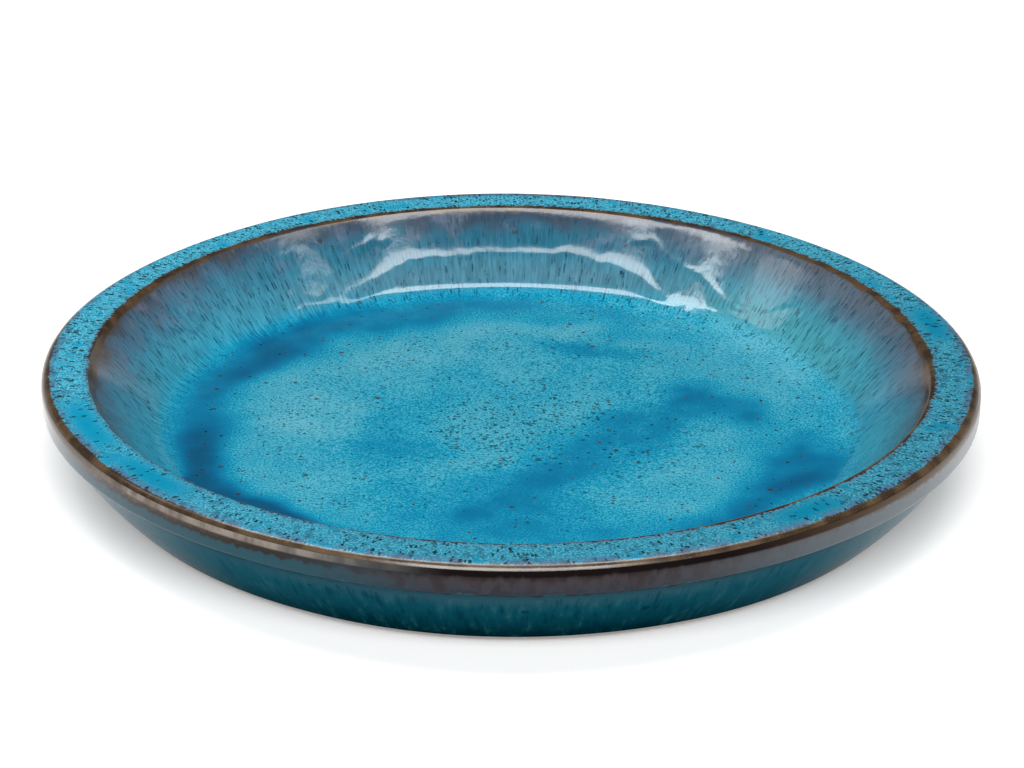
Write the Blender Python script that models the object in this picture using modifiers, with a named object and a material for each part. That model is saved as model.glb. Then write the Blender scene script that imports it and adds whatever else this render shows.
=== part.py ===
"""Ground-standing bird bath: a shallow stoneware bowl with a thick flat rim and a fired glaze.

The bowl is turned about the Z axis. Its foot ring stands on z = 0, with the origin under its middle.
The clay is one solid. The glaze is two thin coats over it: one lines the inside and wraps over the
rim, the other covers the collar and the outer wall.
"""

import math

import bmesh
import bpy

# Driving dimensions, in metres
RIM_RADIUS = 0.170  # outside of the collar
RIM_TOP = 0.040  # height of the rim above the ground
LIP_RADIUS = 0.1528  # where the inner wall meets the rim's flat top
INNER_WALL_ANGLE = math.radians(47.5)  # slope of the inner wall
FLOOR_EDGE_Z = 0.01165  # lowest part of the floor, a ring beside the wall
FLOOR_RISE = 0.0010  # how far the middle of the floor stands above that ring
COLLAR_BOTTOM_Z = 0.0296  # lower edge of the vertical band below the rim
STEP_DEPTH = 0.0036  # how far the outer wall is set back under the collar
STEP_DROP = 0.0026  # height of the slope from the collar to the wall
BASE_RADIUS = 0.1476  # outside of the wall at its lower edge
BASE_Z = 0.0023  # underside of the wall, lifted off the ground by the foot ring
WALL_BULGE = 0.0011  # how far the outer wall swells beyond a straight cone
FOOT_OUTER_RADIUS = 0.1380
FOOT_INNER_RADIUS = 0.1270
RECESS_Z = 0.0043  # underside of the floor, inside the foot ring

# Rounded corners
RIM_OUTER_ROUND = 0.0037
LIP_ROUND = 0.0030
FLOOR_FILLET = 0.0140
COLLAR_ROUND = 0.0015
STEP_FILLET = 0.0020
BASE_ROUND = 0.0016
FOOT_ROUND = 0.0008

# Glaze
GLAZE_THICKNESS = 0.0008
GLAZE_GAP = 0.0003  # clearance between a coat and the clay under it
COAT_SPLIT = 0.0004  # bare line between the two coats, at the top of the collar
GLAZE_TURN_UNDER = 0.0030  # how far the outer coat runs in under the base

TURN_STEPS = 56
ROUND_STEPS = 3
FLOOR_STEPS = 2
WALL_STEPS = 5

SMOOTH_ANGLE = math.radians(35.0)


def clear_scene():
    for thing in list(bpy.data.objects):
        bpy.data.objects.remove(thing, do_unlink=True)


def make_collection(name):
    collection = bpy.data.collections.new(name)
    bpy.context.scene.collection.children.link(collection)
    return collection


def make_material(name, color, roughness, metallic=0.0):
    material = bpy.data.materials.new(name)
    material.use_nodes = True
    shader = material.node_tree.nodes["Principled BSDF"]
    shader.inputs["Base Color"].default_value = (*color, 1.0)
    shader.inputs["Roughness"].default_value = roughness
    shader.inputs["Metallic"].default_value = metallic
    material.diffuse_color = (*color, 1.0)
    return material


def unit(dx, dz):
    length = math.hypot(dx, dz)
    return dx / length, dz / length


def rounded_corner(before, corner, after, radius, steps=ROUND_STEPS):
    """The arc of the given radius that replaces a corner of an outline, as points on it."""
    in_x, in_z = unit(before[0] - corner[0], before[1] - corner[1])
    out_x, out_z = unit(after[0] - corner[0], after[1] - corner[1])
    half_angle = math.acos(max(-1.0, min(1.0, in_x * out_x + in_z * out_z))) / 2.0
    tangent = radius / math.tan(half_angle)
    to_center = radius / math.sin(half_angle)
    mid_x, mid_z = unit(in_x + out_x, in_z + out_z)
    center = (corner[0] + mid_x * to_center, corner[1] + mid_z * to_center)
    start = (corner[0] + in_x * tangent, corner[1] + in_z * tangent)
    end = (corner[0] + out_x * tangent, corner[1] + out_z * tangent)
    start_angle = math.atan2(start[1] - center[1], start[0] - center[0])
    end_angle = math.atan2(end[1] - center[1], end[0] - center[0])
    sweep = (end_angle - start_angle + math.pi) % (2.0 * math.pi) - math.pi
    points = []
    for step in range(steps + 1):
        angle = start_angle + sweep * step / steps
        points.append((center[0] + radius * math.cos(angle), center[1] + radius * math.sin(angle)))
    return points


def swelling_line(start, end, bulge, steps):
    """The points between two ends of a shallow curve that swells to the left of its direction."""
    along_x, along_z = end[0] - start[0], end[1] - start[1]
    side_x, side_z = unit(along_z, -along_x)
    points = []
    for step in range(1, steps):
        share = step / steps
        swell = bulge * 4.0 * share * (1.0 - share)
        points.append((start[0] + along_x * share - side_x * swell,
                       start[1] + along_z * share - side_z * swell))
    return points


def moved_inward(path, distance):
    """The path shifted sideways into the clay by a constant distance."""
    shifted = []
    for index, point in enumerate(path):
        before = path[max(index - 1, 0)]
        after = path[min(index + 1, len(path) - 1)]
        normals = []
        if before != point:
            normals.append(unit(point[1] - before[1], before[0] - point[0]))
        if after != point:
            normals.append(unit(after[1] - point[1], point[0] - after[0]))
        normal_x, normal_z = unit(sum(n[0] for n in normals), sum(n[1] for n in normals))
        stretch = normal_x * normals[0][0] + normal_z * normals[0][1]
        shifted.append((max(point[0] + normal_x * distance / stretch, 0.0),
                        point[1] + normal_z * distance / stretch))
    return shifted


def inside_surface():
    """The glazed surface from the middle of the floor, up the inner wall, over the rim to the collar."""
    wall_run = (RIM_TOP - FLOOR_EDGE_Z) / math.tan(INNER_WALL_ANGLE)
    floor_corner = (LIP_RADIUS - wall_run, FLOOR_EDGE_Z)
    lip_corner = (LIP_RADIUS, RIM_TOP)
    rim_corner = (RIM_RADIUS, RIM_TOP)
    collar_corner = (RIM_RADIUS, COLLAR_BOTTOM_Z)
    fillet = rounded_corner((0.0, FLOOR_EDGE_Z), floor_corner, lip_corner, FLOOR_FILLET, 4)
    floor_radius = fillet[0][0]
    path = []
    for step in range(FLOOR_STEPS):
        share = step / FLOOR_STEPS
        path.append((floor_radius * share, FLOOR_EDGE_Z + FLOOR_RISE * (1.0 - share ** 2)))
    path += fillet
    path += rounded_corner(floor_corner, lip_corner, rim_corner, LIP_ROUND)
    path += rounded_corner(lip_corner, rim_corner, collar_corner, RIM_OUTER_ROUND)
    return path


def outside_surface():
    """The glazed surface from the top of the collar, down the outer wall, to under the base."""
    collar_top = (RIM_RADIUS, RIM_TOP - RIM_OUTER_ROUND)
    collar_corner = (RIM_RADIUS, COLLAR_BOTTOM_Z)
    step_corner = (RIM_RADIUS - STEP_DEPTH, COLLAR_BOTTOM_Z - STEP_DROP)
    base_corner = (BASE_RADIUS, BASE_Z)
    turned_under = (BASE_RADIUS - GLAZE_TURN_UNDER, BASE_Z)
    path = [collar_top]
    path += rounded_corner(collar_top, collar_corner, step_corner, COLLAR_ROUND, 2)
    step = rounded_corner(collar_corner, step_corner, base_corner, STEP_FILLET, 2)
    base = rounded_corner(step_corner, base_corner, turned_under, BASE_ROUND)
    path += step
    path += swelling_line(step[-1], base[0], WALL_BULGE, WALL_STEPS)
    path += base
    path.append(turned_under)
    return path


def turned_piece(name, outline, collection, material, closed):
    """A solid of revolution: the outline swept once round the Z axis with a Screw modifier."""
    form = bmesh.new()
    corners = [form.verts.new((radius, 0.0, height)) for radius, height in outline]
    for first, second in zip(corners, corners[1:]):
        form.edges.new((first, second))
    if closed:
        form.edges.new((corners[-1], corners[0]))
    mesh = bpy.data.meshes.new(name)
    form.to_mesh(mesh)
    form.free()
    mesh.materials.append(material)
    piece = bpy.data.objects.new(name, mesh)
    collection.objects.link(piece)
    turning = piece.modifiers.new("turning", "SCREW")
    turning.axis = "Z"
    turning.angle = 2.0 * math.pi
    turning.steps = TURN_STEPS
    turning.render_steps = TURN_STEPS
    turning.use_merge_vertices = True
    turning.merge_threshold = 0.00001
    turning.use_smooth_shade = True
    return piece


def shade_round(piece):
    """Turns the modifier's result into the piece's own mesh, smooth but for its real corners."""
    evaluated = piece.evaluated_get(bpy.context.evaluated_depsgraph_get())
    mesh = bpy.data.meshes.new_from_object(evaluated)
    piece.modifiers.clear()
    piece.data = mesh
    mesh.shade_smooth()
    mesh.set_sharp_from_angle(angle=SMOOTH_ANGLE)


def make_inside_glaze(collection, material):
    surface = inside_surface()
    backing = moved_inward(surface, GLAZE_THICKNESS)
    return turned_piece("inside_glaze", surface + backing[::-1], collection, material, closed=False)


def make_outside_glaze(collection, material):
    surface = outside_surface()
    surface[0] = (RIM_RADIUS, surface[0][1] - COAT_SPLIT)
    backing = moved_inward(surface, GLAZE_THICKNESS)
    return turned_piece("outside_glaze", surface + backing[::-1], collection, material, closed=True)


def make_stoneware_bowl(collection, material):
    glazed = inside_surface() + outside_surface()[1:]
    outline = moved_inward(glazed, GLAZE_THICKNESS + GLAZE_GAP)[:-1]
    foot_top = (FOOT_OUTER_RADIUS, outline[-1][1])
    foot_outer = (FOOT_OUTER_RADIUS, 0.0)
    foot_inner = (FOOT_INNER_RADIUS, 0.0)
    recess_edge = (FOOT_INNER_RADIUS, RECESS_Z)
    recess_middle = (0.0, RECESS_Z)
    outline.append(foot_top)
    outline += rounded_corner(foot_top, foot_outer, foot_inner, FOOT_ROUND, 2)
    outline += rounded_corner(foot_outer, foot_inner, recess_edge, FOOT_ROUND, 2)
    outline += rounded_corner(foot_inner, recess_edge, recess_middle, FOOT_ROUND, 2)
    outline.append(recess_middle)
    return turned_piece("stoneware_bowl", outline, collection, material, closed=False)


def build():
    clear_scene()
    bird_bath = make_collection("bird_bath")
    clay = make_material("fired_stoneware", (0.30, 0.19, 0.12), 0.75)
    turquoise = make_material("turquoise_glaze", (0.03, 0.36, 0.50), 0.12)
    teal = make_material("dark_teal_glaze", (0.01, 0.13, 0.19), 0.12)
    pieces = [
        make_stoneware_bowl(bird_bath, clay),
        make_inside_glaze(bird_bath, turquoise),
        make_outside_glaze(bird_bath, teal),
    ]
    bpy.context.view_layer.update()
    for piece in pieces:
        shade_round(piece)


build()
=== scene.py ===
import math

import bpy
from mathutils import Euler, Matrix, Vector, noise


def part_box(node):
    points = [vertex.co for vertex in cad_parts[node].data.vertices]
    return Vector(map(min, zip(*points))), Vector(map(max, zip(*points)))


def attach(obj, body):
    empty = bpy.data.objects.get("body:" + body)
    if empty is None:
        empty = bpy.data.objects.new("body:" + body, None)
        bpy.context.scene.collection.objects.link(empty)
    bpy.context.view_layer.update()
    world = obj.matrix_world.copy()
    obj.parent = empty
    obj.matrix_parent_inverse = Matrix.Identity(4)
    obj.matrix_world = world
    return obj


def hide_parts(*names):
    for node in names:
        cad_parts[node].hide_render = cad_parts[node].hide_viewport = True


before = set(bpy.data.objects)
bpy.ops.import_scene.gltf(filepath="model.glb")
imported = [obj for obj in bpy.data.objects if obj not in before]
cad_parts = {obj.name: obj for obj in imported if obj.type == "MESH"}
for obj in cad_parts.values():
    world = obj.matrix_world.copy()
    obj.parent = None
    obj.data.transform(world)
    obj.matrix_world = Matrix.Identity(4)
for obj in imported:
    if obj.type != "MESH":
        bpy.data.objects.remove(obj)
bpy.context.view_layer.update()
print("frame loaded:", ", ".join(sorted(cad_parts)))

mm = 0.001
scene = bpy.context.scene
scene.view_settings.view_transform = "Standard"
scene.view_settings.look = "None"

# heights and radii that the frame gives
coatLow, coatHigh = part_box("inside_glaze")
rimRadius = coatHigh.x
rimTop = coatHigh.z
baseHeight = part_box("outside_glaze")[0].z
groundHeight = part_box("stoneware_bowl")[0].z


def limit(value):
    return max(0.0, min(1.0, value))


def unit(dx, dz):
    length = math.hypot(dx, dz)
    return dx / length, dz / length


def roundCorner(before, corner, after, radius, steps):
    inX, inZ = unit(before[0] - corner[0], before[1] - corner[1])
    outX, outZ = unit(after[0] - corner[0], after[1] - corner[1])
    halfAngle = math.acos(max(-1.0, min(1.0, inX * outX + inZ * outZ))) / 2
    midX, midZ = unit(inX + outX, inZ + outZ)
    centreX = corner[0] + midX * radius / math.sin(halfAngle)
    centreZ = corner[1] + midZ * radius / math.sin(halfAngle)
    tangent = radius / math.tan(halfAngle)
    startAngle = math.atan2(corner[1] + inZ * tangent - centreZ, corner[0] + inX * tangent - centreX)
    endAngle = math.atan2(corner[1] + outZ * tangent - centreZ, corner[0] + outX * tangent - centreX)
    sweep = (endAngle - startAngle + math.pi) % (2 * math.pi) - math.pi
    angles = [startAngle + sweep * i / steps for i in range(steps + 1)]
    return [(centreX + radius * math.cos(a), centreZ + radius * math.sin(a)) for a in angles]


def runBetween(start, end, steps, bulge=0.0):
    # the points between two corners, both ends left out; bulge swells the run to its left
    sideX, sideZ = unit(end[1] - start[1], start[0] - end[0])
    points = []
    for i in range(1, steps):
        t = i / steps
        swell = bulge * 4 * t * (1 - t)
        points.append((start[0] + (end[0] - start[0]) * t - sideX * swell,
                       start[1] + (end[1] - start[1]) * t - sideZ * swell))
    return points


def sideways(path, distance):
    # the path moved to its right, into the clay
    moved = []
    for i, point in enumerate(path):
        before = path[max(i - 1, 0)]
        after = path[min(i + 1, len(path) - 1)]
        tangentX, tangentZ = unit(after[0] - before[0], after[1] - before[1])
        moved.append((max(point[0] + tangentZ * distance, 0.0), point[1] - tangentX * distance))
    return moved


handMade = {
    "fourLobes": 0.0039,  # how far the rim is from a true circle
    "threeLobes": -0.0046,
    "lipOffset": (-0.9 * mm, -1.0 * mm),  # the hollow isn't quite in the middle
    "lipBlend": (150 * mm, 158 * mm),
}


def softNoise(x, y, z, wavelength):
    return noise.noise(Vector((x, y, z)) / wavelength)


def outOfRound(x, y, z, inside):
    angle = math.atan2(y, x)
    stretch = 1 + handMade["fourLobes"] * math.cos(4 * angle) + handMade["threeLobes"] * math.sin(3 * angle)
    near, far = handMade["lipBlend"]
    hollow = limit((far - math.hypot(x, y)) / (far - near)) if inside else 0.0
    hollow = hollow * hollow * (3 - 2 * hollow)
    return (x * stretch + handMade["lipOffset"][0] * hollow,
            y * stretch + handMade["lipOffset"][1] * hollow, z)


def turnPiece(name, rows, steps, closed, shift, insideRows=0):
    # rows of (radius, height) swept round Z; a row at radius 0 becomes a pole
    verts, faces, rowStarts = [], [], []
    for index, (radius, height) in enumerate(rows):
        rowStarts.append(len(verts))
        before = rows[max(index - 1, 0)]
        after = rows[min(index + 1, len(rows) - 1)]
        tangentX, tangentZ = unit(after[0] - before[0], after[1] - before[1])
        if radius < 0.01 * mm:
            verts.append(outOfRound(0.0, 0.0, height + shift(0.0, 0.0, height, index), index < insideRows))
            continue
        for step in range(steps):
            angle = 2 * math.pi * step / steps
            x, y = radius * math.cos(angle), radius * math.sin(angle)
            lift = shift(x, y, height, index)
            out = -tangentZ * lift
            verts.append(outOfRound(x + math.cos(angle) * out, y + math.sin(angle) * out,
                                    height + tangentX * lift, index < insideRows))
    pairs = list(zip(range(len(rows) - 1), range(1, len(rows))))
    if closed:
        pairs.append((len(rows) - 1, 0))
    for upper, lower in pairs:
        a, b = rowStarts[upper], rowStarts[lower]
        upperPole = rows[upper][0] < 0.01 * mm
        lowerPole = rows[lower][0] < 0.01 * mm
        for step in range(steps):
            nextStep = (step + 1) % steps
            if upperPole:
                faces.append((a, b + step, b + nextStep))
            elif lowerPole:
                faces.append((a + nextStep, a + step, b))
            else:
                faces.append((a + nextStep, a + step, b + step, b + nextStep))
    mesh = bpy.data.meshes.new(name)
    mesh.from_pydata(verts, [], faces)
    mesh.validate()
    mesh.shade_smooth()
    mesh.set_sharp_from_angle(angle=math.radians(50))
    piece = bpy.data.objects.new(name, mesh)
    scene.collection.objects.link(piece)
    return piece


glazeSkin = {
    "thickness": 0.8 * mm,
    "slowWave": 0.16 * mm,  # the hand-made wander of the whole form
    "slowLength": 62 * mm,
    "ripple": 0.030 * mm,  # unevenness of the melted glaze
    "rippleLength": 13 * mm,
    "grain": 0.006 * mm,
    "grainLength": 4.5 * mm,
}

fingerRidges = {
    "foot": 129 * mm,  # where up the wall they start, and over what width
    "width": 25 * mm,
    "line": 0.38,  # shares of the width: the ridge's place, its wander and its thickness
    "wander": 0.05,
    "thickness": 0.080,
    "height": 0.29 * mm,
    "straight": 17,  # degrees from the far point to where the ridge starts to sink to the foot
    "sinking": 15,
    "reach": 62,
    "loopStart": 20,  # looping ridges run on from here
    "loopTurns": (0.21, 0.15),  # how quickly they loop on the left and on the right
    "loopLine": 0.42,
    "loopSwing": 0.22,
    "loopThickness": 0.036,
    "loopHeight": 0.12 * mm,
    "blobs": 0.085 * mm,
    "blobLength": 7.0 * mm,
}


def wallRidges(radius, fromFar):
    # low wavy ridges left by the thrower's fingers on the far part of the inner wall
    ridges = fingerRidges
    side = abs(fromFar)
    share = (radius - ridges["foot"]) / ridges["width"]
    if share < -0.2 or share > 1.1 or side > ridges["reach"]:
        return 0.0
    wave = noise.noise(Vector((fromFar * 0.16, 3.1, 0.0)))
    wave += 0.5 * noise.noise(Vector((fromFar * 0.5, 8.1, 0.0)))
    sunk = limit((side - ridges["straight"]) / ridges["sinking"])
    middle = ridges["line"] * (1 - sunk) + ridges["wander"] * wave
    fade = limit((ridges["reach"] - side) / 12)
    swell = 1 + 0.35 * noise.noise(Vector((fromFar * 0.23, 0.0, 5.3)))
    lift = math.exp(-((share - middle) / (ridges["thickness"] * swell)) ** 2) * ridges["height"] * swell
    if side > ridges["loopStart"]:
        turn = (side - 22) * ridges["loopTurns"][0 if fromFar > 0 else 1]
        loop = ridges["loopLine"] + ridges["loopSwing"] * math.cos(turn) + 0.12 * wave
        lift += math.exp(-((share - loop) / ridges["loopThickness"]) ** 2) * ridges["loopHeight"]
    return lift * fade


def wallBlobs(x, y, z, radius, fromFar):
    # runny unevenness of the thick glaze, most of it either side of the ridges
    ridges = fingerRidges
    side = abs(fromFar)
    if side < ridges["loopStart"] or side > ridges["reach"] or radius < ridges["foot"]:
        return 0.0
    fade = limit((side - ridges["loopStart"]) / 14) * limit((ridges["reach"] - side) / 10)
    fade *= limit((radius - ridges["foot"]) / (6 * mm))
    lumps = abs(softNoise(x, y + 0.9, z, ridges["blobLength"]))
    lumps += 0.4 * abs(softNoise(x, y + 1.7, z, ridges["blobLength"] * 0.5))
    return ridges["blobs"] * fade * lumps


def glazeLift(x, y, z):
    skin = glazeSkin
    radius = math.hypot(x, y)
    lift = skin["slowWave"] * softNoise(x, y, z, skin["slowLength"])
    lift += skin["ripple"] * softNoise(x, y + 0.4, z, skin["rippleLength"])
    lift += skin["grain"] * softNoise(x, y, z + 0.7, skin["grainLength"])
    if fingerRidges["foot"] * 0.9 < radius < insideCoat["lipRadius"] and z < rimTop:
        fromFar = (math.degrees(math.atan2(y, x)) + 90) % 360 - 180
        lift += wallRidges(radius, fromFar) + wallBlobs(x, y, z, radius, fromFar)
    return lift


insideCoat = {
    "lipRadius": 152.8 * mm,  # where the sloping wall meets the flat rim
    "wallAngle": math.radians(47.5),
    "floorHeight": coatLow.z + glazeSkin["thickness"],  # lowest ring of the floor
    "floorRise": 1.0 * mm,
    "floorFillet": 14.0 * mm,
    "lipRound": 1.9 * mm,
    "rimRound": 3.7 * mm,
    "edgeRows": 10,
    "edgeSteps": 7,  # how many of the edge's rows this coat covers before the outside coat takes over
    "floorRows": 66,
    "wallRows": 27,
    "rimRows": 8,
    "steps": 640,
}

outsideCoat = {
    "collarBottom": 29.6 * mm,
    "stepDepth": 3.6 * mm,
    "stepDrop": 2.6 * mm,
    "baseRadius": 147.6 * mm,
    "bulge": 1.1 * mm,
    "collarRound": 1.5 * mm,
    "stepFillet": 2.0 * mm,
    "baseRound": 1.6 * mm,
    "turnUnder": 3.0 * mm,
    "steps": 640,
}


def rimEdgeCurve():
    lipCorner = (insideCoat["lipRadius"], rimTop)
    return roundCorner(lipCorner, (rimRadius, rimTop), (rimRadius, outsideCoat["collarBottom"]),
                       insideCoat["rimRound"], insideCoat["edgeRows"])


def insideOutline():
    coat = insideCoat
    run = (rimTop - coat["floorHeight"]) / math.tan(coat["wallAngle"])
    floorCorner = (coat["lipRadius"] - run, coat["floorHeight"])
    lipCorner = (coat["lipRadius"], rimTop)
    rimCorner = (rimRadius, rimTop)
    fillet = roundCorner((0.0, coat["floorHeight"]), floorCorner, lipCorner, coat["floorFillet"], 10)
    lip = roundCorner(floorCorner, lipCorner, rimCorner, coat["lipRound"], 8)
    edge = rimEdgeCurve()
    path = []
    for i in range(coat["floorRows"]):
        t = i / coat["floorRows"]
        path.append((fillet[0][0] * t, coat["floorHeight"] + coat["floorRise"] * (1 - t * t)))
    path += fillet + runBetween(fillet[-1], lip[0], coat["wallRows"])
    return path + lip + runBetween(lip[-1], edge[0], coat["rimRows"]) + edge[:coat["edgeSteps"] + 1]


def outsideOutline():
    coat = outsideCoat
    edge = rimEdgeCurve()[insideCoat["edgeSteps"]:]
    top = edge[-1]
    collarCorner = (rimRadius, coat["collarBottom"])
    stepCorner = (rimRadius - coat["stepDepth"], coat["collarBottom"] - coat["stepDrop"])
    baseCorner = (coat["baseRadius"], baseHeight)
    under = (coat["baseRadius"] - coat["turnUnder"], baseHeight)
    collar = roundCorner(top, collarCorner, stepCorner, coat["collarRound"], 5)
    step = roundCorner(collarCorner, stepCorner, baseCorner, coat["stepFillet"], 5)
    base = roundCorner(stepCorner, baseCorner, under, coat["baseRound"], 6)
    path = edge + runBetween(top, collar[0], 6) + collar + runBetween(collar[-1], step[0], 2)
    path += step + runBetween(step[-1], base[0], 22, coat["bulge"]) + base
    return path + runBetween(base[-1], under, 2) + [under]


def makeInsideGlaze(material):
    top = insideOutline()
    backing = sideways(top, glazeSkin["thickness"])[::-1]
    # the back, against the clay, does with fewer rows
    backing = backing[:12:2] + backing[14:-1:9] + [backing[-1]]

    def shift(x, y, z, row):
        return glazeLift(x, y, z) if row < len(top) else 0.0

    rows = top + backing
    piece = turnPiece("insideGlaze", rows, insideCoat["steps"], False, shift, len(rows))
    piece.data.materials.append(material)
    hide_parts("inside_glaze")
    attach(piece, "root")


def makeOutsideGlaze(material):
    outer = outsideOutline()
    backing = sideways(outer, glazeSkin["thickness"])[::-1]
    backing = [backing[0]] + backing[3:-3:4] + [backing[-1]]

    def shift(x, y, z, row):
        return glazeLift(x, y, z) if row < len(outer) else 0.0

    piece = turnPiece("outsideGlaze", outer + backing, outsideCoat["steps"], True, shift)
    piece.data.materials.append(material)
    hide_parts("outside_glaze")
    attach(piece, "root")


clayBody = {
    "footOuter": 138.0 * mm,
    "footInner": 127.0 * mm,
    "recess": groundHeight + 4.3 * mm,
    "footRound": 0.8 * mm,
    "toolRings": 0.10 * mm,  # height of the trimming tool's rings under the floor
    "ringSpacing": 3.4 * mm,
    "underGlaze": 1.3 * mm,  # how far its skin lies below the glaze's surface
    "recessRows": 110,
    "steps": 480,
}


def makeClayBowl(material):
    clay = clayBody
    hidden = sideways(insideOutline()[::5] + outsideOutline()[2:-1:3], clay["underGlaze"])
    footTop = (clay["footOuter"], hidden[-1][1])
    footOuter = (clay["footOuter"], groundHeight)
    footInner = (clay["footInner"], groundHeight)
    recessEdge = (clay["footInner"], clay["recess"])
    recessMiddle = (0.0, clay["recess"])
    coveredRows = len(hidden)
    rows = hidden + [footTop]
    rows += roundCorner(footTop, footOuter, footInner, clay["footRound"], 4)
    rows += runBetween(rows[-1], footInner, 6)
    rows += roundCorner(footOuter, footInner, recessEdge, clay["footRound"], 4)
    inner = roundCorner(footInner, recessEdge, recessMiddle, clay["footRound"], 4)
    rows += inner
    firstRing = len(rows)
    rows += runBetween(inner[-1], recessMiddle, clay["recessRows"]) + [recessMiddle]

    def shift(x, y, z, row):
        if row <= coveredRows:
            return 0.0
        radius = math.hypot(x, y)
        lift = 0.04 * mm * softNoise(x, y, z, 6 * mm)
        if row >= firstRing:
            spiral = radius / clay["ringSpacing"] + math.atan2(y, x) / (2 * math.pi)
            lift += clay["toolRings"] * math.sin(2 * math.pi * spiral) * min(1.0, radius / 0.01)
        return lift

    piece = turnPiece("stonewareBowl", rows, clay["steps"], False, shift, coveredRows)
    piece.data.materials.append(material)
    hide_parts("stoneware_bowl")
    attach(piece, "root")


def feed(tree, socket, value):
    if isinstance(value, bpy.types.NodeSocket):
        tree.links.new(value, socket)
    elif socket.type == "RGBA" and len(value) == 3:
        socket.default_value = (*value, 1)
    else:
        socket.default_value = value


def addNode(tree, kind, values=None, **settings):
    node = tree.nodes.new(kind)
    count = len(tree.nodes)
    node.location = (220 * (count % 16), -280 * (count // 16))
    for name, value in settings.items():
        setattr(node, name, value)
    for name, value in (values or {}).items():
        feed(tree, node.inputs[name], value)
    return node


def calc(tree, operation, first, second=0.0):
    node = addNode(tree, "ShaderNodeMath", {0: first, 1: second}, operation=operation)
    return node.outputs[0]


def vectorCalc(tree, operation, first, second=(0, 0, 0)):
    node = addNode(tree, "ShaderNodeVectorMath", {0: first}, operation=operation)
    feed(tree, node.inputs["Scale"] if operation == "SCALE" else node.inputs[1], second)
    return node.outputs["Value" if operation in ("LENGTH", "DOT_PRODUCT") else "Vector"]


def mixColor(tree, factor, first, second, mode="MIX"):
    node = addNode(tree, "ShaderNodeMix", data_type="RGBA", blend_type=mode)
    for index, value in ((0, factor), (6, first), (7, second)):
        feed(tree, node.inputs[index], value)
    return node.outputs[2]


def grayOf(tree, value):
    node = addNode(tree, "ShaderNodeCombineColor", {"Red": value, "Green": value, "Blue": value})
    return node.outputs["Color"]


def between(tree, value, low, high, toLow=0.0, toHigh=1.0):
    node = addNode(tree, "ShaderNodeMapRange",
                   {"Value": value, "From Min": low, "From Max": high, "To Min": toLow, "To Max": toHigh},
                   interpolation_type="SMOOTHSTEP")
    return node.outputs["Result"]


def swirl(tree, place, length, amount, detail=2.0):
    # the place pushed about by a slow noise
    node = addNode(tree, "ShaderNodeTexNoise", {"Vector": place, "Scale": 1 / length, "Detail": detail})
    push = addNode(tree, "ShaderNodeSeparateColor", {"Color": node.outputs["Color"]}).outputs
    offset = addNode(tree, "ShaderNodeCombineXYZ",
                     {"X": push["Red"], "Y": push["Green"], "Z": push["Blue"]}).outputs["Vector"]
    offset = vectorCalc(tree, "SUBTRACT", offset, (0.5, 0.5, 0.5))
    return vectorCalc(tree, "ADD", place, vectorCalc(tree, "SCALE", offset, amount))


def cloudiness(tree, place, length, detail=2.0, roughness=0.5):
    node = addNode(tree, "ShaderNodeTexNoise",
                   {"Vector": place, "Scale": 1 / length, "Detail": detail, "Roughness": roughness})
    return node.outputs["Fac"]


def colorSteps(tree, value, steps, low=0.0, high=1.0):
    # a color ramp over a range of the value, from (place, color) pairs
    share = addNode(tree, "ShaderNodeMapRange", {"Value": value, "From Min": low, "From Max": high})
    node = addNode(tree, "ShaderNodeValToRGB", {"Fac": share.outputs["Result"]})
    ramp = node.color_ramp
    while len(ramp.elements) < len(steps):
        ramp.elements.new(1.0)
    for element, (place, color) in zip(ramp.elements, steps):
        element.position = (place - low) / (high - low)
        element.color = (*color, 1)
    return node.outputs["Color"]


def newGroup(name, inputs, outputs):
    group = bpy.data.node_groups.new(name, "ShaderNodeTree")
    for label, value in inputs:
        isVector = isinstance(value, tuple)
        socket = group.interface.new_socket(
            label, in_out="INPUT", socket_type="NodeSocketVector" if isVector else "NodeSocketFloat")
        socket.default_value = value
    for label, kind in outputs:
        group.interface.new_socket(label, in_out="OUTPUT", socket_type="NodeSocket" + kind)
    source = group.nodes.new("NodeGroupInput")
    sink = group.nodes.new("NodeGroupOutput")
    return group, source.outputs, sink.inputs


def useGroup(tree, group, values):
    node = tree.nodes.new("ShaderNodeGroup")
    node.node_tree = group
    for name, value in values.items():
        feed(tree, node.inputs[name], value)
    return node.outputs


def makeBowlPlace():
    # where a point is on the bowl, in millimetres; Ring has no seam and runs down the slope along its Z
    group, source, sink = newGroup("bowlPlace", [("Place", (0, 0, 0))],
                                   [("Millimetres", "Vector"), ("Radius", "Float"), ("Height", "Float"),
                                    ("Ring", "Vector"), ("Toward", "Vector")])
    point = vectorCalc(group, "SCALE", source["Place"], 1 / mm)
    parts = addNode(group, "ShaderNodeSeparateXYZ", {"Vector": point}).outputs
    flat = addNode(group, "ShaderNodeCombineXYZ", {"X": parts["X"], "Y": parts["Y"]}).outputs["Vector"]
    radius = vectorCalc(group, "LENGTH", flat)
    toward = vectorCalc(group, "NORMALIZE", flat)
    around = vectorCalc(group, "SCALE", toward, 150.0)
    down = addNode(group, "ShaderNodeCombineXYZ",
                   {"Z": calc(group, "ADD", radius, parts["Z"])}).outputs["Vector"]
    group.links.new(point, sink["Millimetres"])
    group.links.new(radius, sink["Radius"])
    group.links.new(parts["Z"], sink["Height"])
    group.links.new(vectorCalc(group, "ADD", around, down), sink["Ring"])
    group.links.new(toward, sink["Toward"])
    return group


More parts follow.
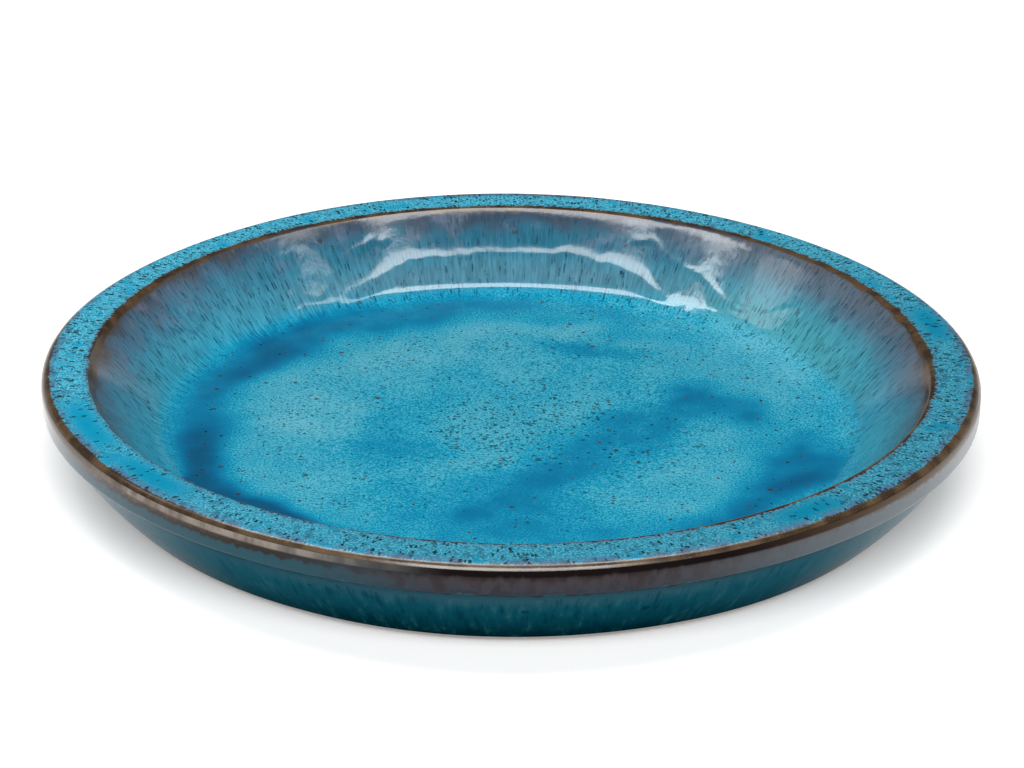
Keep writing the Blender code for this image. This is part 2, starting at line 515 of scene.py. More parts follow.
def makeSpecks():
    # scattered specks, one to a cell of Place; Amount is the share of cells with one, Grain frays its edge
    group, source, sink = newGroup(
        "specks",
        [("Place", (0, 0, 0)), ("Amount", 0.4), ("Size", 0.3), ("Grain", 0.5), ("Ragged", 1.0)],
        [("Mask", "Float"), ("Tone", "Float")])
    dots = addNode(group, "ShaderNodeTexVoronoi", {"Vector": source["Place"], "Scale": 1.0}).outputs
    random = addNode(group, "ShaderNodeSeparateColor", {"Color": dots["Color"]}).outputs
    size = calc(group, "MULTIPLY", source["Size"], between(group, random["Green"], 0.0, 1.0, 0.55, 1.15))
    near = calc(group, "DIVIDE", dots["Distance"], size)
    fray = calc(group, "MULTIPLY", calc(group, "SUBTRACT", source["Grain"], 0.5), source["Ragged"])
    near = calc(group, "ADD", near, fray)
    present = calc(group, "LESS_THAN", random["Red"], source["Amount"])
    mask = calc(group, "MULTIPLY", between(group, near, 1.0, 0.6), present)
    group.links.new(mask, sink["Mask"])
    group.links.new(random["Blue"], sink["Tone"])
    return group


def makePatch():
    # a soft oval cloud, 1 in its middle
    group, source, sink = newGroup(
        "softPatch",
        [("Place", (0, 0, 0)), ("Middle", (0, 0, 0)), ("Half Length", 30.0), ("Half Width", 15.0),
         ("Turn", 0.0)],
        [("Mask", "Float")])
    away = vectorCalc(group, "SUBTRACT", source["Place"], source["Middle"])
    turned = addNode(group, "ShaderNodeVectorRotate", {"Vector": away}, rotation_type="Z_AXIS")
    group.links.new(calc(group, "MULTIPLY", source["Turn"], -1.0), turned.inputs["Angle"])
    parts = addNode(group, "ShaderNodeSeparateXYZ", {"Vector": turned.outputs["Vector"]}).outputs
    oval = addNode(group, "ShaderNodeCombineXYZ",
                   {"X": calc(group, "DIVIDE", parts["X"], source["Half Length"]),
                    "Y": calc(group, "DIVIDE", parts["Y"], source["Half Width"])})
    far = vectorCalc(group, "LENGTH", oval.outputs["Vector"])
    group.links.new(between(group, far, 1.0, 0.15), sink["Mask"])
    return group


def makeArc():
    # a soft stretch of a ring, 1 in the middle of its band and of its bearing
    group, source, sink = newGroup(
        "softArc",
        [("Radius", 0.0), ("Toward", (1, 0, 0)), ("Bearing", (1, 0, 0)), ("Open", 0.5),
         ("Band Radius", 120.0), ("Band Width", 10.0)],
        [("Mask", "Float")])
    off = calc(group, "ABSOLUTE", calc(group, "SUBTRACT", source["Radius"], source["Band Radius"]))
    band = between(group, calc(group, "DIVIDE", off, source["Band Width"]), 1.0, 0.1)
    facing = vectorCalc(group, "DOT_PRODUCT", source["Toward"], source["Bearing"])
    side = between(group, facing, source["Open"], 1.0)
    group.links.new(calc(group, "MULTIPLY", band, side), sink["Mask"])
    return group


bowlPlace = makeBowlPlace()
specks = makeSpecks()
softPatch = makePatch()
softArc = makeArc()
print("shared effects ready")


def bearing(degrees):
    angle = math.radians(degrees)
    return (math.cos(angle), math.sin(angle), 0)


def newMaterial(name):
    material = bpy.data.materials.new(name)
    material.use_nodes = True
    tree = material.node_tree
    shader = tree.nodes["Principled BSDF"]
    place = addNode(tree, "ShaderNodeTexCoord").outputs["Object"]
    where = useGroup(tree, bowlPlace, {"Place": place})
    return material, tree, shader, where


def pickVector(tree, factor, first, second):
    node = addNode(tree, "ShaderNodeMix", data_type="VECTOR")
    for index, value in ((0, factor), (4, first), (5, second)):
        feed(tree, node.inputs[index], value)
    return node.outputs[1]


def pickValue(tree, factor, first, second):
    return addNode(tree, "ShaderNodeMix", {0: factor, 2: first, 3: second}).outputs[0]


def meltedSkin(tree, millimetres, strength):
    # the faint orange peel of a melted glaze
    height = calc(tree, "MULTIPLY", cloudiness(tree, millimetres, 3.0, 1.0), 1.2)
    height = calc(tree, "ADD", height, calc(tree, "MULTIPLY", cloudiness(tree, millimetres, 0.9, 0.0), 0.3))
    bump = addNode(tree, "ShaderNodeBump", {"Strength": strength, "Distance": 0.06 * mm, "Height": height})
    return bump.outputs["Normal"]


brownBreak = {
    "dark": (0.040, 0.023, 0.013),
    "rust": (0.100, 0.058, 0.030),
    "shadow": (0.006, 0.004, 0.004),
    "gold": (0.42, 0.22, 0.07),
}


def brownColor(tree, grain, blotch):
    # iron showing through where the glaze is thin, with fine golden crystals
    color = mixColor(tree, between(tree, blotch, 0.36, 0.64), brownBreak["dark"], brownBreak["rust"])
    return mixColor(tree, between(tree, grain, 0.64, 0.80, 0.0, 0.40), color, brownBreak["gold"])


insideLook = {
    "lip": insideCoat["lipRadius"] / mm,
    "rimEdge": 167.8,  # where the turquoise stops, a little way round the outer edge
    "wallFoot": 124.5,
    "lipWiden": (1.1, 0.4),  # how much wider the brown is at the right and at the left
    "edgeRoughness": 0.10,
    "wallRoughness": 0.04,
    "glazeTone": (0.74, 0.795, 0.790),
    "poolSteps": [
        (0.00, (0.125, 0.43, 0.54)),
        (0.20, (0.055, 0.37, 0.50)),
        (0.40, (0.008, 0.305, 0.460)),
        (0.58, (0.001, 0.235, 0.405)),
        (0.74, (0.001, 0.165, 0.320)),
        (0.90, (0.001, 0.110, 0.240)),
        (1.05, (0.002, 0.078, 0.170)),
    ],
    "poolBase": 0.25,
    # x, y, half length, half width, turn in degrees, how much deeper (or paler) the glaze is
    "patches": [
        (-47, -25, 32, 23, 10, 0.36),
        (-34, 14, 46, 22, 63, 0.17),
        (80, 20, 36, 20, -35, 0.34),
        (54, 34, 54, 22, -15, 0.13),
        (94, -4, 20, 38, 10, 0.22),
        (44, -9, 70, 30, 50, 0.36),
        (4, -54, 56, 28, 25, 0.30),
        (2, -85, 84, 30, 0, 0.34),
        (30, 70, 38, 13, -8, 0.32),
        (-36, -54, 34, 22, 0, 0.14),
        (8, 90, 60, 12, 4, -0.20),
        (60, -42, 42, 38, 0, -0.02),
        (-76, 8, 32, 50, 0, -0.20),
        (-38, 60, 46, 24, 25, -0.16),
        (106, 20, 20, 36, 0, -0.16),
    ],
    # bearing, half spread, ring radius, half width of the band, how much deeper
    "arcs": [
        (170, 96, 118, 22, 0.34),
        (108, 86, 113, 28, 0.26),
        (165, 40, 115, 13, 0.10),
        (210, 40, 115, 18, 0.38),
        (240, 34, 114, 18, 0.62),
        (-8, 34, 117, 15, 0.26),
        (-34, 34, 109, 17, 0.42),
        (-92, 80, 119, 15, 0.30),
        (38, 26, 121, 18, -0.20),
    ],
}


def ringMask(tree, where, radius, middle, spread, bandRadius, bandWidth):
    values = {"Radius": radius, "Toward": where["Toward"], "Bearing": bearing(middle),
              "Open": math.cos(math.radians(spread)), "Band Radius": bandRadius, "Band Width": bandWidth}
    return useGroup(tree, softArc, values)["Mask"]


def poolDepth(tree, where, drift):
    look = insideLook
    drifted = swirl(tree, where["Millimetres"], 20, 13.0, 2.0)
    depth = between(tree, drift, 0.25, 0.75, look["poolBase"] - 0.10, look["poolBase"] + 0.12)
    for x, y, halfLength, halfWidth, turn, amount in look["patches"]:
        mask = useGroup(tree, softPatch, {"Place": drifted, "Middle": (x, y, 0), "Half Length": halfLength,
                                          "Half Width": halfWidth, "Turn": math.radians(turn)})["Mask"]
        depth = calc(tree, "ADD", depth, calc(tree, "MULTIPLY", mask, amount))
    wander = cloudiness(tree, where["Millimetres"], 34, 0.0)
    radius = calc(tree, "ADD", where["Radius"], between(tree, wander, 0.2, 0.8, -5.0, 5.0))
    for middle, spread, bandRadius, bandWidth, amount in look["arcs"]:
        mask = ringMask(tree, where, radius, middle, spread, bandRadius, bandWidth)
        depth = calc(tree, "ADD", depth, calc(tree, "MULTIPLY", mask, amount))
    return depth


floorLook = {
    "grainPale": (0.130, 0.470, 0.600),
    "grainDark": (0.002, 0.165, 0.290),
    "crowdMiddle": (14, -6, 0),
}


def poolColor(tree, depth, grain):
    look = floorLook
    color = colorSteps(tree, depth, insideLook["poolSteps"], 0.0, 1.05)
    thin = between(tree, depth, 0.78, 0.25, 0.05, 1.0)
    pale = calc(tree, "MULTIPLY", between(tree, grain, 0.50, 0.64, 0.0, 0.55), thin)
    color = mixColor(tree, pale, color, look["grainPale"])
    shade = calc(tree, "MULTIPLY", between(tree, grain, 0.50, 0.36, 0.0, 0.70),
                 between(tree, depth, 1.0, 0.45, 0.15, 1.0))
    return mixColor(tree, shade, color, look["grainDark"])


wallLook = {
    "hazeSteps": [
        (120, (0.003, 0.250, 0.430)),
        (127, (0.008, 0.285, 0.460)),
        (130, (0.035, 0.300, 0.440)),
        (135, (0.050, 0.300, 0.425)),
        (140, (0.055, 0.255, 0.370)),
        (145, (0.062, 0.185, 0.280)),
        (149, (0.080, 0.130, 0.190)),
        (151.5, (0.080, 0.060, 0.055)),
    ],
    # color, strength, bearing, half spread, ring radius and half width of its band
    "tints": [
        ((0.075, 0.320, 0.370), 0.80, 36, 38, 129.0, 16.0),  # green on the right
        ((0.016, 0.120, 0.190), 0.90, 92, 62, 143.5, 12.0),  # darker above the far ridges, partly the glaze's own colour and partly painted shade
        ((0.080, 0.180, 0.245), 0.80, 92, 58, 133.0, 8.0),
        ((0.118, 0.122, 0.142), 0.65, 34, 42, 150.0, 15.0),  # brown haze along the right-hand lip
    ],
    "underLip": (0.036, 0.044, 0.072),
    "mauve": (0.110, 0.140, 0.205),
}

rimLook = {
    "turquoise": (0.004, 0.190, 0.305),
    "pale": (0.100, 0.375, 0.485),
    "deep": (0.001, 0.205, 0.340),
    "lilac": (0.085, 0.120, 0.215),
    "blotch": (0.020, 0.085, 0.135),
    "frontTone": 0.98,
    "backTone": 1.56,
    # bearing and half spread of the smooth deep blue pools along the rim
    "pools": [(12, 8), (204, 11), (221, 10), (-52, 7)],
    "poolBand": (161.0, 9.0),  # their middle radius and half width
}

markLook = {
    "dark": (0.006, 0.014, 0.022),
    "rust": (0.070, 0.042, 0.042),
    "streak": (0.008, 0.050, 0.095),
}


def wallColor(tree, where, combed, drift, mottle):
    look = wallLook
    radius = calc(tree, "ADD", where["Radius"], between(tree, combed, 0.25, 0.75, -1.5, 1.5))
    radius = calc(tree, "ADD", radius, between(tree, drift, 0.25, 0.75, -2.0, 2.0))
    haze = colorSteps(tree, radius, look["hazeSteps"], 118, 152)
    for color, strength, middle, spread, bandRadius, bandWidth in look["tints"]:
        mask = ringMask(tree, where, where["Radius"], middle, spread, bandRadius, bandWidth)
        haze = mixColor(tree, calc(tree, "MULTIPLY", mask, strength), haze, color)
    underLip = ringMask(tree, where, radius, 95, 56, 150.5, 6.0)
    haze = mixColor(tree, calc(tree, "MULTIPLY", underLip, 0.8), haze, look["underLip"])
    clouds = calc(tree, "MULTIPLY", between(tree, mottle, 0.50, 0.68, 0.0, 0.65),
                  between(tree, where["Radius"], 136.0, 147.0))
    haze = mixColor(tree, clouds, haze, look["mauve"])
    fine = between(tree, combed, 0.32, 0.68, 0.74, 1.14)
    return mixColor(tree, 1.0, haze, grayOf(tree, fine), "MULTIPLY")


def rimColor(tree, where, grain, mottle, nearEdge):
    look = rimLook
    color = mixColor(tree, between(tree, grain, 0.38, 0.66), look["turquoise"], look["pale"])
    pool = between(tree, mottle, 0.56, 0.68, 0.0, 0.8)
    for middle, spread in look["pools"]:
        mask = ringMask(tree, where, where["Radius"], middle, spread, *look["poolBand"])
        pool = calc(tree, "MAXIMUM", pool, mask)
    color = mixColor(tree, pool, color, look["deep"])
    spill = cloudiness(tree, vectorCalc(tree, "MULTIPLY", where["Ring"], (1, 1, 0.6)), 2.4, 2.0)
    spill = calc(tree, "MULTIPLY", between(tree, spill, 0.52, 0.66, 0.0, 0.55), between(tree, pool, 0.7, 0.1))
    color = mixColor(tree, spill, color, look["blotch"])
    # the rim is a little paler toward the back left
    side = vectorCalc(tree, "DOT_PRODUCT", where["Millimetres"], (-0.7, 1, 0))
    tone = between(tree, side, -200.0, 190.0, look["frontTone"], look["backTone"])
    color = mixColor(tree, 1.0, color, grayOf(tree, tone), "MULTIPLY")
    lilac = calc(tree, "MULTIPLY", nearEdge, between(tree, mottle, 0.62, 0.40, 0.1, 0.75))
    return mixColor(tree, lilac, color, look["lilac"]), pool


def makeTurquoiseGlaze():
    look = insideLook
    material, tree, shader, where = newMaterial("turquoiseGlaze")
    millimetres, ring, radius = where["Millimetres"], where["Ring"], where["Radius"]
    grain = cloudiness(tree, millimetres, 0.80, 1.0, 0.6)
    combed = cloudiness(tree, vectorCalc(tree, "MULTIPLY", ring, (1, 1, 0.09)), 1.15, 2.0, 0.6)
    teeth = cloudiness(tree, vectorCalc(tree, "MULTIPLY", ring, (1, 1, 0.30)), 1.0, 1.0)
    drift = cloudiness(tree, millimetres, 18, 2.0)
    mottle = cloudiness(tree, vectorCalc(tree, "MULTIPLY", ring, (1, 1, 0.7)), 8.0, 3.0)
    onWall = calc(tree, "GREATER_THAN", radius, look["wallFoot"])
    pastLip = calc(tree, "GREATER_THAN", radius, look["lip"] - 1.5)
    # the three grounds: the pool on the floor, the combed wall and the grainy rim
    depth = poolDepth(tree, where, drift)
    floorTone = poolColor(tree, depth, grain)
    wallTone = wallColor(tree, where, combed, drift, mottle)
    bowlTone = mixColor(tree, between(tree, calc(tree, "ADD", radius, between(tree, combed, 0.2, 0.8, -3, 3)),
                                      124.0, 131.0), floorTone, wallTone)
    middle = (look["lip"] + look["rimEdge"]) / 2
    half = (look["rimEdge"] - look["lip"]) / 2
    edge = calc(tree, "ABSOLUTE", calc(tree, "SUBTRACT", radius, middle))
    nearEdge = between(tree, edge, half - 4.0, half - 0.5)
    topTone, pool = rimColor(tree, where, grain, mottle, nearEdge)
    ragged = calc(tree, "ADD", between(tree, teeth, 0.25, 0.75, -0.5, 0.5),
                  between(tree, mottle, 0.25, 0.75, -0.4, 0.4))
    onTop = calc(tree, "MULTIPLY",
                 between(tree, calc(tree, "ADD", radius, ragged), look["lip"] + 1.1, look["lip"] + 1.7),
                 between(tree, calc(tree, "SUBTRACT", radius, calc(tree, "MULTIPLY", ragged, 0.5)),
                         look["rimEdge"] + 0.3, look["rimEdge"] - 0.3))
    # dark marks: specks on the floor, long dashes down the wall, short dashes across the rim
    place = pickVector(tree, onWall, vectorCalc(tree, "SCALE", millimetres, 1 / 2.0),
                       vectorCalc(tree, "MULTIPLY", ring, (1 / 1.15, 1 / 1.15, 1 / 7.5)))
    place = pickVector(tree, pastLip, place, vectorCalc(tree, "MULTIPLY", ring, (1 / 1.3, 1 / 1.3, 1 / 2.6)))
    crowdPatch = useGroup(tree, softPatch, {"Place": millimetres, "Middle": floorLook["crowdMiddle"],
                                            "Half Length": 78.0, "Half Width": 66.0, "Turn": 0.0})["Mask"]
    floorCrowd = calc(tree, "MULTIPLY", between(tree, depth, 0.62, 0.25, 0.25, 1.0),
                      calc(tree, "ADD", between(tree, mottle, 0.35, 0.65, 0.06, 0.45),
                           calc(tree, "MULTIPLY", crowdPatch, 0.55)))
    wallCrowd = between(tree, drift, 0.35, 0.65, 0.40, 0.90)
    rimCrowd = calc(tree, "MULTIPLY", between(tree, pool, 0.7, 0.2, 0.40, 1.0),
                    calc(tree, "ADD", between(tree, drift, 0.35, 0.65, 0.50, 0.80),
                         calc(tree, "MULTIPLY", nearEdge, 0.25)))
    # sparser on the near side
    facing = vectorCalc(tree, "DOT_PRODUCT", where["Toward"], (0, 1, 0))
    rimCrowd = calc(tree, "MULTIPLY", rimCrowd, between(tree, facing, -0.95, -0.45, 0.55, 1.0))
    crowd = pickValue(tree, pastLip, pickValue(tree, onWall, floorCrowd, wallCrowd), rimCrowd)
    size = between(tree, crowdPatch, 0.3, 0.9, 0.40, 0.52)
    size = pickValue(tree, pastLip, pickValue(tree, onWall, size, 0.45), 0.56)
    marks = useGroup(tree, specks, {"Place": place, "Amount": crowd, "Size": size, "Grain": grain,
                                    "Ragged": 1.6})
    markTone = mixColor(tree, between(tree, marks["Tone"], 0.80, 0.92), markLook["dark"], markLook["rust"])
    markTone = mixColor(tree, onWall, markTone, markLook["streak"])
    markTone = mixColor(tree, pastLip, markTone, markLook["dark"])
    strength = calc(tree, "MULTIPLY", marks["Mask"], between(tree, marks["Tone"], 0, 1, 0.55, 0.95))
    strength = calc(tree, "MULTIPLY", strength,
                    pickValue(tree, pastLip, pickValue(tree, onWall, 1.0, 0.85), onTop))
    # a few larger reddish spots
    spotPlace = pickVector(tree, onWall, vectorCalc(tree, "SCALE", millimetres, 1 / 7.5),
                           vectorCalc(tree, "MULTIPLY", ring, (1 / 8.0, 1 / 8.0, 1 / 13.0)))
    spots = useGroup(tree, specks, {"Place": spotPlace, "Amount": 0.30, "Size": 0.16, "Grain": grain,
                                    "Ragged": 0.8})
    spotTone = mixColor(tree, spots["Tone"], markLook["dark"], markLook["rust"])
    brown = brownColor(tree, grain, mottle)
    # painted shade: below its highlight the brown of the outer rounding goes to near black
    paintedShadeUnderEdge = calc(tree, "MULTIPLY", between(tree, where["Height"], 38.3, 37.9),
                     calc(tree, "GREATER_THAN", radius, look["rimEdge"]))
    brown = mixColor(tree, paintedShadeUnderEdge, brown, brownBreak["shadow"])
    lipLine = calc(tree, "ADD", radius, between(tree, mottle, 0.25, 0.75, -0.6, 0.6))
    color = mixColor(tree, calc(tree, "MULTIPLY", spots["Mask"], 0.8), bowlTone, spotTone)
    right = vectorCalc(tree, "DOT_PRODUCT", where["Toward"], (1, 0, 0))
    lipLine = calc(tree, "ADD", lipLine, between(tree, right, 0.25, 0.90, 0.0, look["lipWiden"][0]))
    lipLine = calc(tree, "ADD", lipLine, between(tree, right, -0.25, -0.90, 0.0, look["lipWiden"][1]))
    color = mixColor(tree, between(tree, lipLine, look["lip"] - 1.5, look["lip"] - 0.6), color, brown)
    color = mixColor(tree, onTop, color, topTone)
    color = mixColor(tree, strength, color, markTone)
    color = mixColor(tree, 1.0, color, look["glazeTone"], "MULTIPLY")
    feed(tree, shader.inputs["Base Color"], color)
    gloss = between(tree, drift, 0.3, 0.7, 0.06, 0.11)
    satin = between(tree, radius, look["rimEdge"] - 1.6, look["rimEdge"] - 0.2, 0.0, look["edgeRoughness"])
    gloss = calc(tree, "ADD", gloss, between(tree, radius, 129.0, 134.0, 0.0, look["wallRoughness"]))
    feed(tree, shader.inputs["Roughness"], calc(tree, "ADD", gloss, satin))
    feed(tree, shader.inputs["Normal"], meltedSkin(tree, millimetres, 0.35))
    shader.inputs["IOR"].default_value = 1.52
    return material


outsideLook = {
    # colours by height in mm up the outside: the wall's dark teal, going near black toward the base, is
    # painted shade under the overhang, and the near-black from 36.2 mm up is painted shade under the rim's
    # rounded edge
    "bands": [
        (0.0, (0.000, 0.006, 0.010)),
        (5.0, (0.000, 0.016, 0.024)),
        (12.0, (0.001, 0.032, 0.048)),
        (20.0, (0.003, 0.045, 0.066)),
        (25.5, (0.015, 0.056, 0.078)),
        (27.8, (0.016, 0.046, 0.064)),
        (29.6, (0.008, 0.015, 0.022)),
        (31.0, (0.019, 0.022, 0.031)),
        (34.4, (0.027, 0.020, 0.024)),
        (36.2, (0.006, 0.004, 0.004)),
        (38.6, (0.006, 0.004, 0.004)),
    ],
    "paleStreak": (0.020, 0.090, 0.092),
    "darkStreak": (0.000, 0.009, 0.015),
    "rustBlotch": (0.014, 0.008, 0.009),
    # painted reflection of the pale floor on the right of the collar
    "collarPaintedReflection": (0.090, 0.115, 0.130),
    "sideBrown": (0.075, 0.048, 0.030),
    # painted sheen: lighter teal on the left and right of the wall
    "sideTealSheen": (0.016, 0.085, 0.115),
    "leftTeal": (0.009, 0.047, 0.064),
    "leftDark": (0.016, 0.011, 0.009),
    # painted highlight along the left of the outer edge
    "leftPaintedHighlight": (0.190, 0.165, 0.145),
}


def makeTealGlaze():
    look = outsideLook
    material, tree, shader, where = newMaterial("tealGlaze")
    ring, millimetres = where["Ring"], where["Millimetres"]
    grain = cloudiness(tree, millimetres, 0.95, 1.0, 0.6)
    combed = cloudiness(tree, vectorCalc(tree, "MULTIPLY", ring, (1, 1, 0.16)), 2.4, 2.0, 0.6)
    broad = cloudiness(tree, vectorCalc(tree, "MULTIPLY", ring, (1, 1, 0.5)), 7.0, 3.0, 0.6)
    height = calc(tree, "ADD", where["Height"], between(tree, combed, 0.25, 0.75, -0.9, 0.9))
    height = calc(tree, "ADD", height, between(tree, broad, 0.25, 0.75, -0.7, 0.7))
    color = colorSteps(tree, height, look["bands"], 0.0, 39.0)
    onWall = between(tree, where["Height"], 27.5, 24.0)
    pale = calc(tree, "MULTIPLY", between(tree, combed, 0.48, 0.72, 0.0, 0.40), onWall)
    pale = calc(tree, "MULTIPLY", pale, between(tree, broad, 0.40, 0.62))
    color = mixColor(tree, pale, color, look["paleStreak"])
    dark = calc(tree, "MULTIPLY", between(tree, combed, 0.46, 0.30, 0.0, 0.40), onWall)
    color = mixColor(tree, dark, color, look["darkStreak"])
    onCollar = calc(tree, "MULTIPLY", between(tree, where["Height"], 27.5, 30.0),
                    between(tree, where["Height"], 36.3, 35.3))
    # on the left the teal climbs over the collar, under a thin dark line and a painted silvery highlight
    # along the edge
    right = vectorCalc(tree, "DOT_PRODUCT", where["Toward"], (1, 0, 0))
    across = calc(tree, "ABSOLUTE", right)
    climb = between(tree, right, -0.10, -0.50)
    teal = calc(tree, "MULTIPLY", climb, between(tree, height, 26.0, 28.0))
    color = mixColor(tree, teal, color, look["leftTeal"])
    color = mixColor(tree, calc(tree, "MULTIPLY", climb, between(tree, height, 33.0, 34.2)), color,
                     look["leftDark"])
    # painted highlight: a silvery sheen along the left of the rim's outer edge
    paintedHighlight = calc(tree, "MULTIPLY", climb, between(tree, across, 0.93, 0.75))
    paintedHighlight = calc(tree, "MULTIPLY", paintedHighlight, between(tree, where["Height"], 35.4, 36.2))
    paintedHighlight = calc(tree, "MULTIPLY", paintedHighlight, between(tree, broad, 0.35, 0.62, 0.45, 1.0))
    color = mixColor(tree, paintedHighlight, color, look["leftPaintedHighlight"])
    rust = calc(tree, "MULTIPLY", between(tree, broad, 0.48, 0.64, 0.0, 0.7), onCollar)
    rust = calc(tree, "MULTIPLY", rust, calc(tree, "SUBTRACT", 1.0, climb))
    color = mixColor(tree, rust, color, look["rustBlotch"])
    # the dark line is brown at the sides, and a painted reflection pales the collar toward the right
    pale = calc(tree, "MULTIPLY", between(tree, right, 0.20, 0.85, 0.0, 0.85), onCollar)
    color = mixColor(tree, pale, color, look["collarPaintedReflection"])
    # painted sheen: the wall's teal is lighter toward the left and right sides
    sideSheenMask = calc(tree, "MULTIPLY", between(tree, across, 0.25, 0.75, 0.0, 0.45), onWall)
    color = mixColor(tree, sideSheenMask, color, look["sideTealSheen"])
    brown = calc(tree, "MULTIPLY", between(tree, across, 0.40, 0.90), between(tree, height, 34.5, 36.0))
    brown = calc(tree, "MULTIPLY", brown, calc(tree, "SUBTRACT", 1.0, paintedHighlight))
    color = mixColor(tree, brown, color, look["sideBrown"])
    spots = useGroup(tree, specks, {"Place": vectorCalc(tree, "MULTIPLY", ring, (1 / 13, 1 / 13, 1 / 18)),
                                    "Amount": 0.45, "Size": 0.14, "Grain": grain, "Ragged": 0.8})["Mask"]
    color = mixColor(tree, calc(tree, "MULTIPLY", spots, 0.55), color, look["darkStreak"])
    feed(tree, shader.inputs["Base Color"], color)
    feed(tree, shader.inputs["Roughness"], between(tree, broad, 0.3, 0.7, 0.10, 0.16))
    feed(tree, shader.inputs["Normal"], meltedSkin(tree, millimetres, 0.4))
    shader.inputs["IOR"].default_value = 1.5
    shader.inputs["Specular IOR Level"].default_value = 0.0
    # a clear gloss on the collar, and all over at the sides
    gloss = calc(tree, "MULTIPLY", between(tree, across, 0.45, 0.97, 0.25, 1.0), onCollar)
    gloss = calc(tree, "MAXIMUM", gloss, between(tree, across, 0.55, 0.97, 0.0, 0.8))
    gloss = calc(tree, "MULTIPLY", gloss, between(tree, right, 0.90, 0.99, 1.0, 0.6))
    feed(tree, shader.inputs["Coat Weight"], gloss)
    shader.inputs["Coat Roughness"].default_value = 0.10
    shader.inputs["Coat IOR"].default_value = 1.5
    return material


clayLook = {
    "light": (0.40, 0.27, 0.17),
    "dark": (0.22, 0.13, 0.08),
    "grog": (0.07, 0.045, 0.035),
    "scuff": (0.50, 0.40, 0.30),
}


def makeFiredClay():
    look = clayLook
    material, tree, shader, where = newMaterial("firedStoneware")
    millimetres = where["Millimetres"]
    blush = cloudiness(tree, millimetres, 28, 4.0, 0.6)
    sand = cloudiness(tree, millimetres, 0.9, 3.0, 0.7)
    color = mixColor(tree, between(tree, blush, 0.3, 0.7), look["light"], look["dark"])
    color = mixColor(tree, between(tree, sand, 0.45, 0.70, 0.0, 0.45), color, look["dark"])
    grog = useGroup(tree, specks, {"Place": vectorCalc(tree, "SCALE", millimetres, 1 / 2.4), "Amount": 0.30,
                                   "Size": 0.26, "Grain": sand, "Ragged": 1.0})["Mask"]
    color = mixColor(tree, calc(tree, "MULTIPLY", grog, 0.8), color, look["grog"])
    standing = between(tree, where["Height"], 0.5, 0.05)
    worn = calc(tree, "MULTIPLY", standing, between(tree, sand, 0.35, 0.6, 0.1, 0.7))
    color = mixColor(tree, worn, color, look["scuff"])
    feed(tree, shader.inputs["Base Color"], color)
    feed(tree, shader.inputs["Roughness"], between(tree, sand, 0.3, 0.7, 0.62, 0.85))
    relief = calc(tree, "SUBTRACT", sand, calc(tree, "MULTIPLY", grog, 0.5))
    bump = addNode(tree, "ShaderNodeBump", {"Strength": 0.5, "Distance": 0.15 * mm, "Height": relief})
    feed(tree, shader.inputs["Normal"], bump.outputs["Normal"])
    return material


makeInsideGlaze(makeTurquoiseGlaze())
print("inside glaze made")
makeOutsideGlaze(makeTealGlaze())
print("outside glaze made")
makeClayBowl(makeFiredClay())
print("clay bowl made")


stage = {
    "floorSize": 9.0,
    "floorColor": (0.86, 0.86, 0.86),
    # size across and deep, place, and power of each light
    "lights": {
        "softbox": ((1.24, 0.32), (0, -0.12, 1.25), 11.0),
        "softboxWingLeft": ((0.42, 0.24), (-0.80, 0.10, 1.25), 3.0),
        "softboxWingRight": ((0.42, 0.24), (0.80, 0.10, 1.25), 1.4),
        "sideLeft": ((0.34, 0.40), (-1.38, 0.40, 1.20), 1.0),
        "frontKey": ((1.6, 0.7), (0, -1.45, 1.40), 40.0),
    },
    "skyLow": 0.50,
    "skyHigh": 0.04,
    "skyLowReach": 0.10,  # sine of the height in the sky where the bright band begins to fade
    "skyHighReach": 0.24,
    "floorGlow": 0.22,
    "frontFill": 0.75,
}

cameraView = {
    "distance": 7 * rimRadius,
    "elevation": math.radians(23.51),
    "aim": 0.2 * rimRadius + baseHeight,
    "lens": 114.1,
    "yaw": math.radians(-0.015),
    "pitch": math.radians(-0.35),
    "roll": math.radians(0.58),
}


def makeFloor():
    mesh = bpy.data.meshes.new("tableTop")
    half = stage["floorSize"] / 2
    mesh.from_pydata([(-half, -half, 0), (half, -half, 0), (half, half, 0), (-half, half, 0)], [],
                     [(0, 1, 2, 3)])
    floor = bpy.data.objects.new("tableTop", mesh)
    floor.location.z = groundHeight - 0.02 * mm
    scene.collection.objects.link(floor)
    material = bpy.data.materials.new("paleTable")
    material.use_nodes = True
    shader = material.node_tree.nodes["Principled BSDF"]
    shader.inputs["Base Color"].default_value = (*stage["floorColor"], 1)
    shader.inputs["Roughness"].default_value = 0.7
    shader.inputs["Emission Color"].default_value = (1, 1, 1, 1)
    shader.inputs["Emission Strength"].default_value = stage["floorGlow"]
    mesh.materials.append(material)


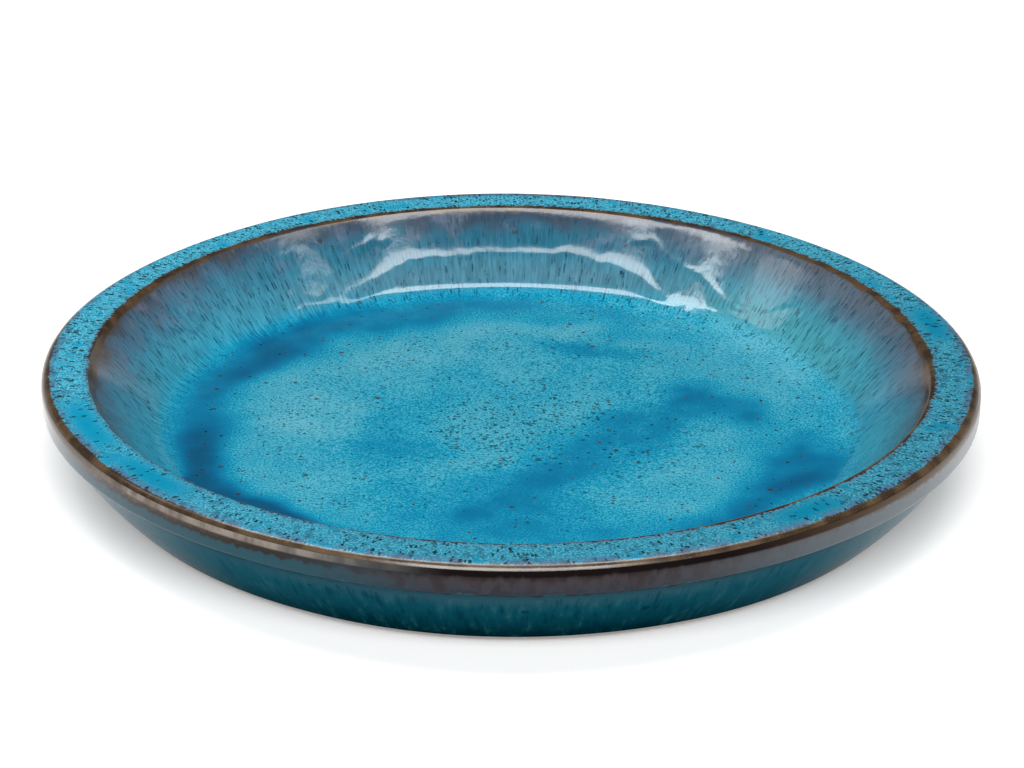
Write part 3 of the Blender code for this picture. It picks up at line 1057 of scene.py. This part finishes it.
def makeLight():
    world = bpy.data.worlds.new("studio")
    scene.world = world
    world.use_nodes = True
    tree = world.node_tree
    background = tree.nodes["Background"]
    place = tree.nodes.new("ShaderNodeTexCoord")
    split = tree.nodes.new("ShaderNodeSeparateXYZ")
    ramp = tree.nodes.new("ShaderNodeValToRGB")
    tree.links.new(place.outputs["Generated"], split.inputs["Vector"])
    tree.links.new(split.outputs["Z"], ramp.inputs["Fac"])
    # a pale wall behind the camera fills the shadow on the near side
    front = addNode(tree, "ShaderNodeMapRange", {"Value": split.outputs["Y"], "From Min": -0.25,
                                                 "From Max": -0.65, "To Max": stage["frontFill"]})
    below = between(tree, split.outputs["Z"], 0.80, 0.55)
    fill = calc(tree, "MULTIPLY", front.outputs["Result"], below)
    sky = mixColor(tree, 1.0, ramp.outputs["Color"], grayOf(tree, fill), "LIGHTEN")
    tree.links.new(sky, background.inputs["Color"])
    low, high = stage["skyLow"], stage["skyHigh"]
    ramp.color_ramp.elements[0].position = stage["skyLowReach"]
    ramp.color_ramp.elements[0].color = (low, low, low, 1)
    ramp.color_ramp.elements[1].position = stage["skyHighReach"]
    ramp.color_ramp.elements[1].color = (high, high, high, 1)
    background.inputs["Strength"].default_value = 1.0
    for name, (size, place, power) in stage["lights"].items():
        lamp = bpy.data.lights.new(name, "AREA")
        lamp.shape = "RECTANGLE"
        lamp.size, lamp.size_y = size
        lamp.energy = power
        light = bpy.data.objects.new(name, lamp)
        light.location = place
        if not name.startswith("softbox"):
            light.rotation_euler = Vector(place).to_track_quat("Z", "Y").to_euler()
        scene.collection.objects.link(light)


def makeCamera():
    view = cameraView
    camera = bpy.data.cameras.new("camera")
    camera.lens = view["lens"]
    camera.sensor_width = 36
    camera.clip_start = 0.05
    holder = bpy.data.objects.new("camera", camera)
    holder.location = (0, -view["distance"] * math.cos(view["elevation"]),
                       view["aim"] + view["distance"] * math.sin(view["elevation"]))
    level = Euler((math.pi / 2 - view["elevation"], 0, 0)).to_matrix()
    turn = Matrix.Rotation(view["yaw"], 3, "Y") @ Matrix.Rotation(view["pitch"], 3, "X")
    turn = turn @ Matrix.Rotation(view["roll"], 3, "Z")
    holder.rotation_euler = (level @ turn).to_euler()
    scene.collection.objects.link(holder)
    scene.camera = holder


makeFloor()
makeLight()
makeCamera()
print("stage set")
